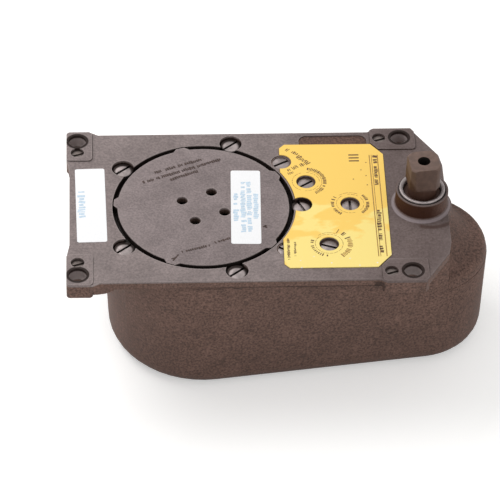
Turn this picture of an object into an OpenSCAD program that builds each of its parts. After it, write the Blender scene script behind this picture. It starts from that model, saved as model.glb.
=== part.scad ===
// Floor spring door closer: a cast case let into the floor below the door.
// Millimetres. Origin: centre of the four mounting holes, on top of their pads.
// +X runs towards the spindle, +Y across the case, +Z up out of the floor.

/* [Plan layout] */
// From the left mounting holes to the spring axis
lug_to_spring = 78; // [76:0.5:82]
// Between the spring axis and the spindle axis, and so the link's length
axis_dist = 135.5; // [133:0.5:142]
// From the right mounting holes to the spindle axis
lug_to_spindle = 9.5; // [7:0.5:12]

/* [Top flange] */
// Thickness of the flange round the case mouth
plate_t = 6; // [5.5:0.25:8]
// How far the flange stands out past the spring drum on each side
plate_overhang = 4.3; // [3:0.1:8]
// From the left mounting holes to the flange's left end
plate_end = 5; // [4:0.5:7]
// From the spindle axis to the flange's nose
nose_reach = 16; // [15:0.5:20]
// How far the mounting pads rise above the flange
pad_rise = 0.9; // [0.6:0.1:2]
// Radius of the mounting bolt holes
mount_hole_r = 5.5; // [4:0.1:5.8]
// Thickness of the left mounting lugs
lug_left_t = 11.2; // [8:0.2:12]
// Thickness of the right mounting lugs
lug_right_t = 10.4; // [9:0.2:13]
// Radius of the levelling screws
level_r = 4.2; // [3.5:0.1:4.3]

/* [Case] */
// Depth of the case below the mounting pads
case_depth = 101.4; // [100:0.2:112]
// Thickness of the floor of the case
floor_t = 9; // [8:0.5:10]
// Wall of the spring drum
drum_wall = 10; // [9:0.5:13]
// Wall of the spindle chamber
nose_wall = 9.2; // [7:0.2:12]
// Taper of the drum from mouth to floor, on the radius
drum_draft = 3; // [1:0.25:4]
// Radius round the bottom edge of the case
edge_r = 13; // [8:0.5:15]
// Height of the spindle boss above the mounting pads
boss_top = 11.2; // [10:0.1:13]

/* [Spring cap] */
// Radius of the adjusting cap
cap_r = 53.3; // [51:0.1:55]
// Width of the groove round the cap
cap_gap = 3.2; // [3:0.1:4]
// Width of the seat under the cap's flange
seat_w = 3.5; // [3:0.1:4]
// Thickness of the cap's flange
flange_t = 3.5; // [3:0.25:5]
// Number of clamp screws and of the cap's tabs
screw_count = 5; // [4:1:6]
// Radius of a clamp screw's head
screw_head_r = 6; // [5.5:0.1:6.3]
// Radius of a clamp screw's shank
screw_r = 2.5; // [2:0.1:2.6]
// Length of a clamp screw's shank
screw_len = 7; // [6:0.5:9]
// Radius of the spanner holes in the cap
spanner_hole_r = 3.4; // [2.5:0.1:3.8]
// Radius of the circle that the spanner holes lie on
spanner_ring_r = 14.1; // [13:0.1:18]

/* [Torsion spring] */
// Wire diameter
wire_d = 8; // [7:0.25:8.75]
// Mean radius of the coil
coil_r = 38; // [34:0.5:41]
// Number of turns
coil_turns = 4.25; // [3.25:1:4.25]

/* [Spindle and link] */
// Radius of the spindle's upper journal
journal_r = 11.5; // [11.3:0.05:11.7]
// Radius of the spindle where the crank sits
seat_r = 9.5; // [9.2:0.1:9.8]
// Radius of the lower journal and of the spring shaft
shaft_r = 6.5; // [6:0.1:6.7]
// Height of the spindle's top above the mounting pads
spindle_top = 34.2; // [32:0.2:42]
// Across the flats of the square at its top
square_top = 18.2; // [17.5:0.1:19]
// Across the flats of the square at its foot
square_foot = 19.4; // [19.2:0.1:20.4]
// Height of the square's foot above the spindle boss
square_rise = 6.5; // [5:0.25:8]
// Radius of the round neck between the square and the seal retainer
waist_r = 9.2; // [8.6:0.1:9.6]
// Radius of the tapped hole for the arm screw
tap_r = 3.9; // [3:0.1:4.2]
// Depth of the tapped hole
tap_depth = 22; // [14:1:30]
// Radius of both cranks, from axis to pin
crank_r = 24; // [23.5:0.25:28]
// Width of the link's bar
link_w = 9; // [7:0.25:9.5]
// Thickness of the link
link_t = 6; // [5:0.25:6.5]
// Radius of the link's eyes
eye_r = 8; // [7.5:0.1:9]
// Radius of the link pins
pin_r = 4; // [3.5:0.1:4.5]
// How far the door turns from closed to open, in degrees
open_angle = 120; // [90:5:120]

/* [Hydraulic check] */
// Radius of the cylinder bore
bore_r = 16; // [15.6:0.1:17]
// Length of the piston's head
piston_len = 15; // [13:0.5:15.5]
// Height of the rack and the pinion
rack_h = 10; // [8:0.5:11]
// Tooth module of the rack and the pinion
gear_module = 1.25; // [1.2:0.01:1.28]
// Number of pinion teeth
pinion_teeth = 16; // [16:1:16]
// Radius of the adjusting valves
valve_r = 5; // [4.5:0.1:5.2]

/* [Instruction plate and labels] */
// Thickness of the instruction plate
plate_label_t = 0.5; // [0.4:0.1:0.8]
// Thickness of the paper labels
paper_t = 0.2; // [0.2:0.05:0.4]
// Width of the paper labels
paper_w = 18.5; // [15:0.5:20]
// Length of the paper labels
paper_len = 67; // [50:1:68]

/* [Hidden] */
$fn = 64;
eps = 0.01;        // overlap of cuts past a face
run = 0.05;        // radial clearance of a running fit
face_gap = 0.1;    // clearance between faces that slide
free_gap = 0.5;    // clearance between parts that pass each other

// Plan positions
lug_span_x = lug_to_spring + axis_dist - lug_to_spindle;
lug_x = lug_span_x / 2;
spring_x = -lug_x + lug_to_spring;
spindle_x = spring_x + axis_dist;

// Spring drum, from the cap outwards
cap_hole_r = cap_r + cap_gap;
chamber_r = cap_hole_r - seat_w;
drum_r = chamber_r + drum_wall;
plate_half_w = drum_r + plate_overhang;
screw_ring_r = cap_hole_r + 4.6;
tab_tip_r = cap_hole_r - 0.7;
tab_turn = 31.5;   // angle of the first tab from the first clamp screw
screw_step = 360 / screw_count;

// Mounting lugs
lug_edge = 8.75;   // from a mounting hole to the side of its pad
pad_side = 2.45;   // pads stand out past the flange's sides
pad_slope = 3.9;   // length of the slope from a pad's side to the flange's side
end_slope = 9;     // length of the slope from a pad's end to the flange's end
pad_half_w = plate_half_w + pad_side;
lug_y = pad_half_w - lug_edge;
left_pad = [-lug_x - 6.9, -lug_x + 9.2];
right_pad = [lug_x - 18.6, lug_x + 9.8];
left_pad_in = 26.95;   // length of a left pad along Y
right_pad_in = 19.55;  // length of a right pad along Y
level_left_dy = 10.8;  // levelling screw from the mounting hole, left, along Y
level_right_dx = 13;   // levelling screw from the mounting hole, right, along X
pad_corner_r = 2.5;
pad_shoulder = 2.5;  // from a right pad's end to where its slope meets its side
plate_corner = [4.5, 5.9];  // cut off a right pad's inner corner, clear of the plate

// Levels, from the top down
plate_top = -pad_rise;
plate_under = plate_top - plate_t;
wall_top = plate_under + 1;
pocket_floor = plate_top - 4.7;
flange_top = pocket_floor - 0.15;
gasket_t = 0.8;
seat_z = flange_top - flange_t - gasket_t;
cap_skirt = 5;     // cap's spigot below its flange
cap_under = seat_z - cap_skirt;
case_floor = -case_depth + floor_t;
foot_boss_top = case_floor + 4.4;
bush_bottom = -case_depth + 5;
disc_t = 1.6;
pin_bottom = foot_boss_top + 0.8;
clip_t = 0.8;
link_under = pin_bottom + clip_t + 0.5;
link_top = link_under + link_t;
ring_t = 1.4;
crank_under = link_top + ring_t + 1.6;
crank_t = 8;
crank_top = crank_under + crank_t;
seal_floor = boss_top - 6.6;
retainer_foot = boss_top - 2.8;
retainer_top = boss_top + 1.2;
square_low = boss_top + square_rise;
square_turn = 7;    // the square stands turned by this much, door closed
carrier_hub_top = crank_top + 24;
hub_under = cap_under - 14;
shaft_top = cap_under - 3;

// Spindle chamber, from the crank outwards
nose_chamber_r = crank_r + eye_r + 2;
nose_r = nose_chamber_r + nose_wall;
nose_roof = -36;   // inside, above the rack
nose_rim = -38;    // outside, where the shoulder turns down
nose_draft = 1;
nose_step = 0.5;   // wall under the nose lies this far behind the flange's edge
rim_round = 5;
shoulder_inset = 0.2;  // shoulder stands this far inside the wall below it
shoulder_top = -14;
shoulder_foot = -30.5;
shoulder_turn = 75;
plate_nose = spindle_x + nose_reach;
nose_half_w = 35;

// Spindle boss
housing_r = journal_r + 2.4;
thread_r = housing_r + 0.3;
neck_r = thread_r + 2.1;
boss_fillet = 1.8;
rim_groove = 0.5;  // width of the groove round the seal retainer
rim_deep = 0.9;    // depth of that groove

// Pinion and rack
pitch_r = gear_module * pinion_teeth / 2;
addendum = 0.8 * gear_module;
dedendum = 1.1 * gear_module;
backlash = 0.5;
pressure = 20;
tooth_w = PI * gear_module / 2 - backlash;
travel = pitch_r * open_angle * PI / 180;
bore_z = -45;
rack_back = sqrt(pow(bore_r - 0.4, 2) - pow(rack_h / 2, 2)) - 0.2;

// Torsion spring
spring_low = crank_top + 1 + wire_d / 2;
spring_high = cap_under - 1 - wire_d / 2;
tang_len = 6;      // how far each bent end of the wire enters its hole
cap_end_angle = 90;
low_end_angle = cap_end_angle - 360 * coil_turns;
carrier_bore_r = shaft_r + 2.5;

// Cylinder
block_left = spring_x + chamber_r;
plug_len = 9;
plug_left = block_left + 0.5;
plug_r = bore_r + 2;
plug_right = plug_left + plug_len;
piston_left = plug_right + 2;
piston_right = piston_left + piston_len;
bore_end = spindle_x - sqrt(pow(nose_chamber_r, 2) - pow(bore_r, 2)) + 0.5;

// Check ball in the piston
ball_y = -7;
ball_seat_x = 4;
ball_lift = 0.8;

// Linkage at rest, door closed
closed_angle = 90 + open_angle / 2;
link_y_low = crank_r * cos(open_angle / 2);
arm = [crank_r * cos(closed_angle), crank_r * sin(closed_angle)];

// Valves: plan positions from the spindle axis and the depth of their tips
valve_tip = -20;
closing_at = [spindle_x - 44.3, 0];
latching_ring_r = cap_hole_r + 11.5;
latching_turn = 17.8;
latching_at = [
    spring_x + latching_ring_r * cos(latching_turn), latching_ring_r * sin(latching_turn)
];
backcheck_at = [spindle_x - 59.3, -36.2];
filler_ring_r = cap_hole_r + 7.3;
filler_turn = 38.5;
filler_at = [spring_x + filler_ring_r * cos(filler_turn), filler_ring_r * sin(filler_turn)];
filler_r = 5.3;
filler_rim = 0.9;  // shallow recess round each filler plug, past its head
filler_low = -12.5;
head_drop = 1.6;   // screw heads lie below the surface
slot_w = 1.6;
slot_deep = 1.5;

// ---- helpers ----

// Straight-sided rectangle with round corners
module round_rect(x0, x1, y0, y1, r) {
    translate([x0 + r, y0]) square([x1 - x0 - 2 * r, y1 - y0]);
    translate([x0, y0 + r]) square([x1 - x0, y1 - y0 - 2 * r]);
    for (x = [x0 + r, x1 - r], y = [y0 + r, y1 - r])
        translate([x, y]) circle(r, $fn = 32);
}

// Ring or tube standing on z0
module tube(r_out, r_in, z0, z1) {
    translate([0, 0, z0]) difference() {
        cylinder(r = r_out, h = z1 - z0);
        translate([0, 0, -1]) cylinder(r = r_in, h = z1 - z0 + 2);
    }
}

// Solid round bar between two levels
module rod(r, z0, z1) {
    translate([0, 0, z0]) cylinder(r = r, h = z1 - z0);
}

module at_spring() { translate([spring_x, 0, 0]) children(); }
module at_spindle() { translate([spindle_x, 0, 0]) children(); }

// Copies on the circle of clamp screws
module on_screw_ring() {
    at_spring() for (i = [0 : screw_count - 1])
        rotate(i * screw_step) translate([screw_ring_r, 0, 0]) children();
}

// Solid through a row of closed outlines with equal numbers of points
module skin(outlines) {
    sides = len(outlines[0]);
    last = len(outlines) - 1;
    walls = [for (k = [0 : last - 1], j = [0 : sides - 1])
        let (n = (j + 1) % sides, at = k * sides, up = at + sides)
        each [[at + j, at + n, up + n], [at + j, up + n, up + j]]];
    first_end = [for (j = [sides - 1 : -1 : 0]) j];
    last_end = [for (j = [0 : sides - 1]) last * sides + j];
    polyhedron([for (o = outlines, p = o) p], concat(walls, [first_end, last_end]), convexity = 10);
}

// Round bar along X in the cylinder bore
module along_bore(r, x0, x1) {
    translate([x0, 0, bore_z]) rotate([0, 90, 0]) cylinder(r = r, h = x1 - x0);
}

// ---- case ----

// Half of the flange's outline, from its left end to its nose, with the right pad's side
function flange_side(s) = [
    [-lug_x - plate_end, s * plate_half_w],
    [right_pad[0] + pad_shoulder - pad_slope, s * plate_half_w],
    [right_pad[0] + pad_shoulder, s * pad_half_w],
    [right_pad[1] - 2.1, s * pad_half_w],
    [plate_nose - 1.8, s * (nose_half_w + 9.6)],
    [plate_nose, s * nose_half_w]
];

module flange_outline() {
    near = flange_side(-1);
    far = flange_side(1);
    polygon(concat(near, [for (i = [len(far) - 1 : -1 : 0]) far[i]]));
}

// Outer form of one round end of the case, r at the rim, turned about its own axis
module round_end(r, draft, rim, dome) {
    low = -case_depth;
    foot_r = r - draft;
    arc = [for (a = [0 : 15 : 90])
        [foot_r - edge_r + edge_r * sin(a), low + edge_r - edge_r * cos(a)]];
    rotate_extrude($fn = 48) polygon(concat([[0, low]], arc, [[r, rim]], dome));
}

// Bowl: the two round ends and the tangent walls between them, up to the flange,
// cut down past the flange's nose
module bowl() {
    difference() {
        hull() {
            at_spring() round_end(drum_r, drum_draft, -9, [[drum_r, wall_top], [0, wall_top]]);
            at_spindle() round_end(nose_r, nose_draft, nose_rim, [[nose_r, wall_top], [0, wall_top]]);
        }
        translate([plate_nose - nose_step, -nose_r - 1, nose_rim])
            cube([nose_r, 2 * nose_r + 2, -nose_rim]);
    }
}

// Section of the shoulder at angle a round the spindle: the round-over at the rim,
// then a hollow curve up to the flange's nose
function shoulder_section(a) =
    let (
        r0 = min((nose_reach - nose_step) / cos(a), nose_r - rim_round - 1),
        r1 = nose_r - rim_round - shoulder_inset,
        lift = (shoulder_top - shoulder_foot) * (1 - pow(a / shoulder_turn, 4))
    )
    concat(
        [[r0 - 4, nose_rim - 2], [r1 + rim_round, nose_rim - 2]],
        [for (b = [0 : 15 : 75])
            [r1 + rim_round * cos(b), nose_rim + (shoulder_foot - nose_rim) * sin(b)]],
        [for (t = [1 : -0.125 : 0]) [r0 + (r1 - r0) * t, shoulder_foot + lift * pow(1 - t, 1.5)]],
        [[r0 - 4, shoulder_foot + lift]]
    );

// Shoulder over the end of the spindle chamber
module shoulder() {
    turns = [-shoulder_turn : shoulder_turn / 10 : shoulder_turn];
    at_spindle() skin([for (a = turns)
        [for (p = shoulder_section(a)) [p[0] * cos(a), p[0] * sin(a), p[1]]]]);
}

// Plan of a pad, with round corners
module pad_plan(pad, y_in, s) {
    y0 = min(s * pad_half_w, s * (pad_half_w - y_in));
    round_rect(pad[0], pad[1], y0, y0 + y_in, pad_corner_r);
}

// Right pads end on the flange's slanting edge, and clear the plate's corner
module right_pad_plan(s) {
    y_in = pad_half_w - right_pad_in;
    difference() {
        intersection() {
            pad_plan(right_pad, right_pad_in, s);
            flange_outline();
        }
        polygon([
            [right_pad[0] - 1, s * (y_in - 1)], [right_pad[0] + plate_corner[0] + 0.8, s * (y_in - 1)],
            [right_pad[0] - 1, s * (y_in + plate_corner[1] + 1.3)]
        ]);
    }
}

// One lug is a pad on top and a rib below it
module lugs() {
    for (s = [-1, 1]) {
        translate([0, 0, -lug_left_t]) linear_extrude(lug_left_t)
            pad_plan(left_pad, left_pad_in, s);
        translate([0, 0, -lug_right_t]) linear_extrude(lug_right_t) right_pad_plan(s);
        translate([0, 0, plate_under]) linear_extrude(plate_t) left_pad_slopes(s);
    }
}

// The flange runs out to the left pads in slopes at its end and its side
module left_pad_slopes(s) {
    y_in = pad_half_w - left_pad_in;
    end = -lug_x - plate_end;
    polygon([
        [end + 1, s * (y_in - end_slope)], [end, s * (y_in - end_slope)],
        [left_pad[0], s * (y_in + 2)], [left_pad[0] + 1, s * (y_in + 2)], [end + 1, s * (y_in + 2)]
    ]);
    polygon([
        [left_pad[1] - 2, s * (plate_half_w - 1)], [left_pad[1] - 2, s * pad_half_w],
        [left_pad[1] - 0.5, s * pad_half_w], [left_pad[1] + pad_slope, s * plate_half_w],
        [left_pad[1] + pad_slope, s * (plate_half_w - 1)]
    ]);
}

// Underside of each left lug runs out in a hollow curve into the flange
module lug_webs() {
    run_out = 14;
    rise = lug_left_t - pad_rise - plate_t + 0.5;
    curve = [for (a = [0 : 15 : 90]) [run_out * sin(a), rise - rise * cos(a)]];
    for (s = [-1, 1])
        translate([left_pad[1] - 1, s * (plate_half_w - 1.5), -lug_left_t]) rotate([90, 0, 0])
            translate([0, 0, -1.5]) linear_extrude(3)
                polygon(concat([[-2, 0]], curve, [[run_out, rise + 0.5], [-2, rise + 0.5]]));
}

// Boss round the spindle
module spindle_boss() {
    at_spindle() {
        translate([0, 0, plate_top - 1])
            cylinder(r1 = neck_r + boss_fillet + 1, r2 = neck_r, h = boss_fillet + 1);
        rod(neck_r, plate_under, boss_top - 0.4);
        translate([0, 0, boss_top - 0.4]) cylinder(r1 = neck_r, r2 = neck_r - 0.4, h = 0.4);
    }
}

module screw_bosses() {
    foot = pocket_floor - screw_len - 4;
    on_screw_ring() {
        rod(screw_r + 2.9, foot + 5, wall_top);
        translate([0, 0, foot]) cylinder(r1 = screw_r - 0.5, r2 = screw_r + 2.9, h = 5);
    }
}

// Everything that is hollow round the spring axis
module spring_chamber() {
    at_spring() {
        rod(cap_hole_r, seat_z, 1);
        rod(chamber_r, case_floor, seat_z + 1);
    }
    on_screw_ring() {
        rod(screw_head_r + 1.1, pocket_floor, 1);
        rod(screw_r + run, pocket_floor - screw_len - 2, 1);
    }
}

module spindle_chamber() {
    at_spindle() {
        rod(nose_chamber_r, case_floor, nose_roof);
        rod(housing_r + run, nose_roof - 1, boss_top - 1);
        rod(thread_r + run, retainer_foot - face_gap, boss_top + 1);
        rod(thread_r + rim_groove, boss_top - rim_deep, boss_top + 1);
    }
}

// Tunnel that the link runs in, between the two chambers
module link_tunnel() {
    y0 = link_y_low - link_w / 2 - 3;
    y1 = crank_r + link_w / 2 + 3;
    translate([spring_x, y0, case_floor]) cube([axis_dist, y1 - y0, crank_under - case_floor]);
}

// Foot bearing: a raised boss round a blind hole in the floor
module foot_boss() { rod(13, case_floor - 1, foot_boss_top); }
module foot_hole(r) { rod(r + run, bush_bottom - disc_t, foot_boss_top + 1); }

// Drilling from a valve's tip down to the bore's level and across to the bore
module valve_port(at) {
    translate([at[0], at[1], 0]) rod(1.5, bore_z - 1.5, valve_tip + 1);
    side = sign(at[1]);
    if (side != 0)
        translate([at[0], at[1], bore_z]) rotate([side * 90, 0, 0])
            cylinder(r = 1.5, h = abs(at[1]) - bore_r + 3);
}

module valve_hole(at) {
    translate([at[0], at[1], 0]) {
        rod(valve_r + 1, plate_top - head_drop, 1);
        rod(valve_r + run, valve_tip, 1);
    }
    valve_port(at);
}

module filler_hole(s) {
    translate([filler_at[0], s * filler_at[1], 0]) {
        rod(filler_r + filler_rim, plate_top - 0.6, 1);
        rod(filler_r + run, filler_low - 0.5, 1);
        rod(2, filler_low - 6.5, 0);
        translate([0, 0, filler_low - 5.5]) rotate([0, -90, s * filler_turn])
            cylinder(r = 1.5, h = 16);
    }
}

module lug_holes() {
    for (s = [-1, 1]) {
        for (x = [-lug_x, lug_x])
            translate([x, s * lug_y, 0]) rod(mount_hole_r, -lug_right_t - 1, 1);
        translate([-lug_x, s * (lug_y - level_left_dy), 0]) rod(level_r + run, -lug_left_t - 1, 1);
        translate([lug_x - level_right_dx, s * lug_y, 0]) rod(level_r + run, -lug_right_t - 1, 1);
    }
}

// Shallow cored panel at the far side of the flange
module far_panel() {
    translate([0, 0, plate_top - 0.7]) linear_extrude(2)
        round_rect(spindle_x - 73.5, spindle_x - 30.4, plate_half_w - 22, plate_half_w - 2.8, 5);
}

module case() {
    color("dimgray") difference() {
        union() {
            translate([0, 0, plate_under]) linear_extrude(plate_t) flange_outline();
            bowl();
            shoulder();
            lugs();
            lug_webs();
            spindle_boss();
            screw_bosses();
        }
        difference() {
            union() {
                spring_chamber();
                spindle_chamber();
                link_tunnel();
            }
            at_spring() foot_boss();
            at_spindle() foot_boss();
        }
        at_spring() foot_hole(shaft_r);
        at_spindle() foot_hole(shaft_r + 2.5);
        along_bore(bore_r, plug_right - 1, bore_end);
        along_bore(plug_r, block_left - 6, plug_right);
        valve_hole(closing_at);
        valve_hole(latching_at);
        valve_hole(backcheck_at);
        filler_hole(1);
        filler_hole(-1);
        lug_holes();
        far_panel();
    }
}

// ---- spring cap and its fasteners ----

// Index tab on the cap's rim
module cap_tab() {
    rotate(tab_turn) polygon([
        [cap_r - 2, -5.6], [cap_r - 0.3, -5.2], [tab_tip_r, -2.7],
        [tab_tip_r, 2.7], [cap_r - 0.3, 5.2], [cap_r - 2, 5.6]
    ]);
}

module spring_cap() {
    hub_r = shaft_r + 5;
    color("gray") at_spring() difference() {
        union() {
            translate([0, 0, flange_top]) linear_extrude(plate_top - flange_top) {
                circle(cap_r);
                for (i = [0 : screw_count - 1]) rotate(i * screw_step) cap_tab();
            }
            rod(cap_hole_r - run, seat_z + gasket_t, flange_top);
            rod(chamber_r - 0.3, cap_under, flange_top - 1);
            rod(hub_r, hub_under, cap_under + 1);
        }
        rod(shaft_r + run, hub_under - 1, shaft_top + 1);
        tang_hole(cap_end_angle, cap_under - 1, cap_under + tang_len + 0.5);
        for (a = [67.5 : 90 : 360]) rotate(a)
            translate([spanner_ring_r, 0, plate_top - 5]) cylinder(r = spanner_hole_r, h = 6);
    }
}

// Hole that takes the bent end of the spring wire at angle a
module tang_hole(a, z0, z1) {
    rotate(a) translate([coil_r, 0, 0]) rod(wire_d / 2 + free_gap / 2, z0, z1);
}

module cap_gasket() {
    color("black") at_spring() tube(cap_hole_r - 0.2, chamber_r + 0.4, seat_z, seat_z + gasket_t);
}

// Slot across a screw's head
module slot(r, z, turn) {
    rotate(turn) translate([-r - 1, -slot_w / 2, z - slot_deep]) cube([2 * r + 2, slot_w, slot_deep + 1]);
}

module cap_screws() {
    head_top = plate_top - head_drop;
    turns = [-65, -32, -104, 184, 112, 40];
    color("silver") at_spring() for (i = [0 : screw_count - 1])
        rotate(i * screw_step) translate([screw_ring_r, 0, 0]) difference() {
            union() {
                rod(screw_head_r, pocket_floor, head_top);
                rod(screw_r, pocket_floor - screw_len, pocket_floor + 1);
            }
            slot(screw_head_r, head_top, turns[i]);
        }
}

// ---- spring ----

// Ring k of the swept wire: a round of points about the coil's centre line
function wire_ring(a, z) = [for (t = [0 : 45 : 315])
    let (r = coil_r + wire_d / 2 * cos(t))
    [r * cos(a), r * sin(a), z + wire_d / 2 * sin(t)]];

module torsion_spring() {
    steps = round(coil_turns * 24);
    color("darkslategray") at_spring() {
        skin([for (k = [0 : steps]) wire_ring(
            low_end_angle + 360 * coil_turns * k / steps,
            spring_low + (spring_high - spring_low) * k / steps)]);
        spring_tang(low_end_angle, spring_low, crank_top - tang_len, spring_low);
        spring_tang(cap_end_angle, spring_high, spring_high, cap_under + tang_len);
    }
}

// Bent end of the wire: a round bend and a straight tang
module spring_tang(a, bend_z, z0, z1) {
    rotate(a) translate([coil_r, 0, 0]) {
        translate([0, 0, bend_z]) sphere(r = wire_d / 2);
        rod(wire_d / 2, z0, z1);
    }
}

module spring_shaft() {
    color("silver") at_spring() rod(shaft_r, bush_bottom - disc_t, shaft_top - 1);
}

// ---- carrier, cranks and link ----

module spring_carrier() {
    color("slategray") at_spring() difference() {
        union() {
            rod(chamber_r - 5, crank_under, crank_top);
            rod(shaft_r + 7, crank_under, carrier_hub_top);
        }
        tang_hole(low_end_angle, crank_top - tang_len - 0.5, crank_top + 1);
        rod(carrier_bore_r, crank_under - 1, carrier_hub_top + 1);
        translate([arm[0], arm[1], 0]) rod(pin_r + run / 5, crank_under - 1, crank_top + 1);
        for (a = [closed_angle + 72 : 72 : closed_angle + 300]) rotate(a)
            translate([chamber_r - 24, 0, 0]) rod(7, crank_under - 1, crank_top + 1);
    }
}

module carrier_bush() {
    color("darkgoldenrod") at_spring()
        tube(carrier_bore_r - run / 5, shaft_r + run, crank_under, carrier_hub_top);
}

// Retaining ring below a crank or the carrier
module retaining_ring() {
    tube(shaft_r + 3, shaft_r + run / 5, crank_under - face_gap - ring_t, crank_under - face_gap);
}

module carrier_ring() { color("silver") at_spring() retaining_ring(); }
module crank_ring() { color("silver") at_spindle() retaining_ring(); }

// Pin through a crank and the link, and the clip below it
module link_pin() {
    translate([arm[0], arm[1], 0]) rod(pin_r, pin_bottom, crank_top);
}
module pin_clip() {
    translate([arm[0], arm[1], 0])
        tube(pin_r + 2, pin_r + run / 5, pin_bottom + 0.3, pin_bottom + 0.3 + clip_t);
}
module carrier_pin() { color("silver") at_spring() link_pin(); }
module carrier_pin_clip() { color("silver") at_spring() pin_clip(); }
module crank_pin() { color("silver") at_spindle() link_pin(); }
module crank_pin_clip() { color("silver") at_spindle() pin_clip(); }

module link() {
    open_pivot_gap = 0.3;
    color("lightslategray") translate([spring_x + arm[0], arm[1], 0]) difference() {
        union() {
            rod(eye_r, link_under, link_top);
            translate([axis_dist, 0, 0]) rod(eye_r, link_under, link_top);
            translate([0, -link_w / 2, link_under]) cube([axis_dist, link_w, link_t]);
        }
        rod(pin_r + open_pivot_gap, link_under - 1, link_top + 1);
        translate([axis_dist, 0, 0]) rod(pin_r + run, link_under - 1, link_top + 1);
    }
}

// ---- spindle ----

function inv_angle(r, base) = r <= base ? 0 :
    sqrt(pow(r / base, 2) - 1) * 180 / PI - acos(base / r);

// Half of a pinion tooth at radius r, as an angle from its centre line
function half_tooth(r) =
    let (base = pitch_r * cos(pressure))
    tooth_w / 2 / pitch_r * 180 / PI + inv_angle(pitch_r, base) - inv_angle(r, base);

module pinion_outline() {
    root = pitch_r - dedendum;
    flank = [for (k = [0 : 4]) root + (dedendum + addendum) * k / 4];
    step = 360 / pinion_teeth;
    polygon([for (i = [0 : pinion_teeth - 1], k = [0 : 9])
        let (
            r = k < 5 ? flank[k] : flank[9 - k],
            side = k < 5 ? -1 : 1,
            a = 90 + i * step + side * half_tooth(r)
        )
        [r * cos(a), r * sin(a)]]);
}

// Cutter that leaves one flat of the tapered square
module flat_cutter(turn) {
    high = spindle_top - square_low;
    lean = atan((square_foot - square_top) / 2 / high);
    rotate(turn) translate([square_foot / 2, 0, square_low]) rotate([0, -lean, 0])
        translate([0, -20, -1]) cube([20, 40, 2 * high]);
}

module spindle() {
    post_r = journal_r - 0.1;
    shoulder_r = seat_r + 1.3;
    color("gray") at_spindle() difference() {
        union() {
            rod(shaft_r, bush_bottom + face_gap, crank_under);
            rod(seat_r, crank_under, crank_top);
            rod(shoulder_r, crank_top, bore_z - rack_h / 2 - 2);
            rod(pitch_r - dedendum - 0.4, crank_top - 1, nose_roof);
            translate([0, 0, bore_z - rack_h / 2 - 1]) linear_extrude(rack_h + 2) pinion_outline();
            rod(journal_r, bore_z + rack_h / 2 + 2, boss_top - 2);
            rod(waist_r, boss_top - 3, square_low + 1);
            rod(post_r, square_low, spindle_top - 1);
            translate([0, 0, spindle_top - 1]) cylinder(r1 = post_r, r2 = post_r - 1, h = 1);
        }
        for (a = [0 : 90 : 270]) flat_cutter(a + square_turn);
        rod(tap_r, spindle_top - tap_depth, spindle_top + 1);
        key_block(0.02);
    }
}

// Parallel key between spindle and crank, opposite the pin, and the space for it
module key_block(gap) {
    side = 4;
    rotate(closed_angle + 180)
        translate([seat_r - 2 - gap, -side / 2 - gap, crank_under + 1 - gap])
            cube([side + 2 * gap, side + 2 * gap, crank_t - 2 + 2 * gap]);
}

module crank_key() {
    color("silver") at_spindle() key_block(0);
}

module spindle_crank() {
    hub_r = seat_r + 5.5;
    color("slategray") at_spindle() difference() {
        union() {
            rod(hub_r, crank_under, crank_top);
            linear_extrude_between(crank_under, crank_top) polygon([
                hub_r * 0.92 * [cos(closed_angle + 75), sin(closed_angle + 75)],
                hub_r * 0.92 * [cos(closed_angle - 75), sin(closed_angle - 75)],
                arm + (eye_r - 0.6) * [cos(closed_angle - 80), sin(closed_angle - 80)],
                arm + (eye_r - 0.6) * [cos(closed_angle + 80), sin(closed_angle + 80)]
            ]);
            translate([arm[0], arm[1], 0]) rod(eye_r, crank_under, crank_top);
        }
        rod(seat_r + eps, crank_under - 1, crank_top + 1);
        translate([arm[0], arm[1], 0]) rod(pin_r + run / 5, crank_under - 1, crank_top + 1);
        key_block(0.02);
    }
}

module linear_extrude_between(z0, z1) {
    translate([0, 0, z0]) linear_extrude(z1 - z0) children();
}

module lower_bush() {
    color("darkgoldenrod") at_spindle()
        tube(shaft_r + 2.5, shaft_r + run, bush_bottom, foot_boss_top);
}

module thrust_disc() {
    color("silver") at_spindle() rod(shaft_r + 2.4, bush_bottom - disc_t, bush_bottom - face_gap / 2);
}

module upper_bush() {
    color("darkgoldenrod") at_spindle()
        tube(housing_r, journal_r + run, nose_roof + 2, seal_floor);
}

module shaft_seal() {
    color("black") at_spindle()
        tube(housing_r - 0.02, journal_r + run / 2, seal_floor + 0.05, retainer_foot - face_gap);
}

module seal_retainer() {
    color("dimgray") at_spindle() difference() {
        rotate_extrude() polygon([
            [journal_r + 0.35, retainer_foot], [thread_r, retainer_foot],
            [thread_r, retainer_top - 0.5], [thread_r - 0.5, retainer_top],
            [journal_r + 0.9, retainer_top - 0.5], [journal_r + 0.35, retainer_top - 1.1]
        ]);
    }
}

// ---- hydraulic check ----

// Rack teeth on the bar's near side, a space over the pinion when the door is shut
module rack_outline() {
    pitch = PI * gear_module;
    first = floor((travel + 8) / pitch);
    last = 1;
    half = tooth_w / 2;
    out = addendum * tan(pressure);
    in = dedendum * tan(pressure);
    x_end = spindle_x + 6;
    translate([piston_right - 2, pitch_r + dedendum])
        square([x_end - piston_right + 2, rack_back - pitch_r - dedendum]);
    for (i = [-first : last]) translate([spindle_x + (i - 0.5) * pitch, pitch_r]) polygon([
        [-half - in, dedendum + eps], [-half + out, -addendum],
        [half - out, -addendum], [half + in, dedendum + eps]
    ]);
}

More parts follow.
